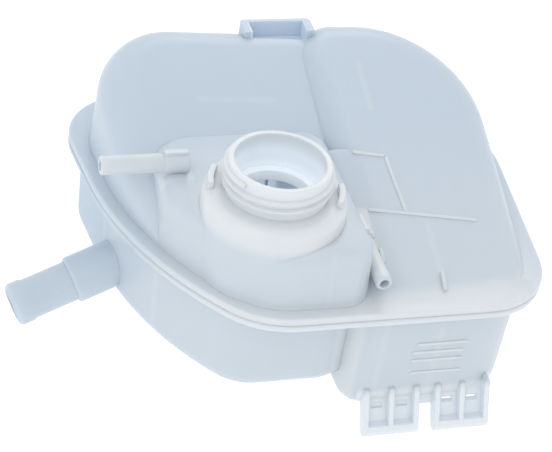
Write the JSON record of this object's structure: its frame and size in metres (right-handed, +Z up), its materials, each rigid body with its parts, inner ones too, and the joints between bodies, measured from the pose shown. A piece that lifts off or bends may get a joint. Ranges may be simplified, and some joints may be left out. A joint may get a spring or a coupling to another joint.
{
  "type": "coolant expansion tank",
  "caption": "Welded plastic expansion tank for engine coolant with a threaded filler neck, vent nipples, a hose outlet, mounting feet and a rear socket",
  "frame": {"origin": "centre of the filler neck's rim, on its top plane", "axes": "+Z up along the filler neck, +X along the front edge of the weld flange to the right, +Y to the back"},
  "size_m": [0.2549, 0.184, 0.1335],
  "materials": {
    "tank_plastic": "translucent milky polypropylene with a faint blue cast"
  },
  "bodies": {
    "root": {"upper_half": "tank_plastic", "lower_half": "tank_plastic"}
  },
  "joints": []
}
